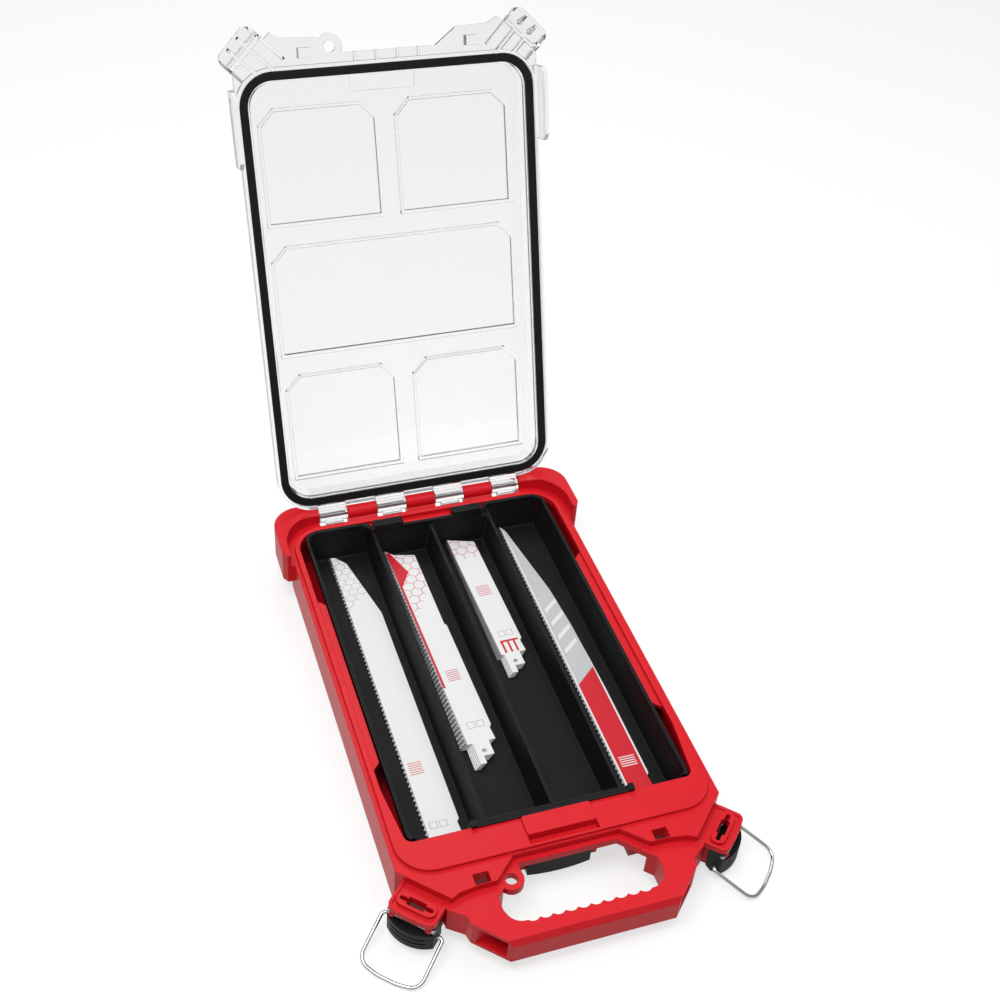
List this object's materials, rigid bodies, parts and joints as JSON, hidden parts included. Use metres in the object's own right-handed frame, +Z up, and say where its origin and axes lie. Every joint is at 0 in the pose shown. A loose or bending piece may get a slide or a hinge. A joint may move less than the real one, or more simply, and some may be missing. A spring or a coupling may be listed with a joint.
{
  "type": "saw blade storage case",
  "caption": "Flat carrying case for sabre saw blades with a clear hinged lid, a channelled tray, wire bail latches and a carrying handle.",
  "frame": {"origin": "middle of the centre foot pad on the case's underside, on the ground", "axes": "+X across the case to the right, +Y towards the hinge, +Z up"},
  "size_m": [0.2926, 0.5416, 0.4003],
  "materials": {
    "red_body": "fine moulded texture, satin",
    "black_tray": "thermoformed sheet, satin",
    "black_parts": "glass-filled nylon, matte",
    "clear_lid": "clear polycarbonate, polished",
    "seal_rubber": "matte",
    "bail_wire": "bright nickel plate",
    "pin_steel": "drawn wire",
    "spring_steel": "drawn wire",
    "blade_white": "white coated steel with ground teeth",
    "blade_grey": "grey and red coated steel with ground teeth"
  },
  "bodies": {
    "base": {"base_shell": "red_body", "insert_tray": "black_tray", "hinge_pin": "pin_steel", "stack_release_spring": "spring_steel", "latch_pivot_pin_left": "pin_steel", "latch_pivot_pin_right": "pin_steel"},
    "lid": {"lid_shell": "clear_lid", "lid_seal": "seal_rubber"},
    "release": {"stack_release_slide": "black_parts"},
    "lever_left": {"latch_lever_left": "black_parts"},
    "bail_left": {"latch_bail_left": "bail_wire"},
    "lever_right": {"latch_lever_right": "black_parts"},
    "bail_right": {"latch_bail_right": "bail_wire"},
    "coarse_blade": {"blade_long_coarse_1": "blade_white"},
    "medium_blades": {"blade_medium_1": "blade_white", "blade_medium_2": "blade_white", "blade_medium_3": "blade_white", "blade_medium_4": "blade_white", "blade_medium_5": "blade_white"},
    "fine_blades": {"blade_short_fine_1": "blade_white", "blade_short_fine_2": "blade_white", "blade_short_fine_3": "blade_white", "blade_short_fine_4": "blade_white", "blade_short_fine_5": "blade_white"},
    "carbide_blades": {"blade_long_carbide_1": "blade_grey", "blade_long_carbide_2": "blade_grey"}
  },
  "joints": [
    {"name": "lid_hinge", "type": "hinge", "parent": "base", "child": "lid", "pos_m": [0, 0.1736, 0.0416], "axis": [-1, 0, 0], "range_deg": [-109.5, 0]},
    {"name": "release_slide", "type": "slide", "parent": "base", "child": "release", "axis": [0, 0, 1], "range_m": [0, 0.005], "stiffness_N_per_m": 400, "springref_m": -0.004, "deforming": ["stack_release_spring"]},
    {"name": "latch_left", "type": "hinge", "parent": "base", "child": "lever_left", "pos_m": [-0.11229, -0.1953, 0.025], "axis": [-0.7071, 0.7071, 0], "range_deg": [0, 85]},
    {"name": "bail_swing_left", "type": "hinge", "parent": "lever_left", "child": "bail_left", "pos_m": [-0.10981, -0.19283, 0.016], "axis": [0.7071, -0.7071, 0], "range_deg": [-127.8, 0]},
    {"name": "latch_right", "type": "hinge", "parent": "base", "child": "lever_right", "pos_m": [0.11229, -0.1953, 0.025], "axis": [-0.7071, -0.7071, 0], "range_deg": [0, 85]},
    {"name": "bail_swing_right", "type": "hinge", "parent": "lever_right", "child": "bail_right", "pos_m": [0.10981, -0.19283, 0.016], "axis": [0.7071, 0.7071, 0], "range_deg": [-127.8, 0]},
    {"name": "coarse_blade_lift", "type": "slide", "parent": "base", "child": "coarse_blade", "axis": [0, 0, 1], "range_m": [0, 0.018]},
    {"name": "medium_blades_lift", "type": "slide", "parent": "base", "child": "medium_blades", "axis": [0, 0, 1], "range_m": [0, 0.06]},
    {"name": "fine_blades_lift", "type": "slide", "parent": "base", "child": "fine_blades", "axis": [0, 0, 1], "range_m": [0, 0.06]},
    {"name": "carbide_blades_lift", "type": "slide", "parent": "base", "child": "carbide_blades", "axis": [0, 0, 1], "range_m": [0, 0.018]}
  ]
}
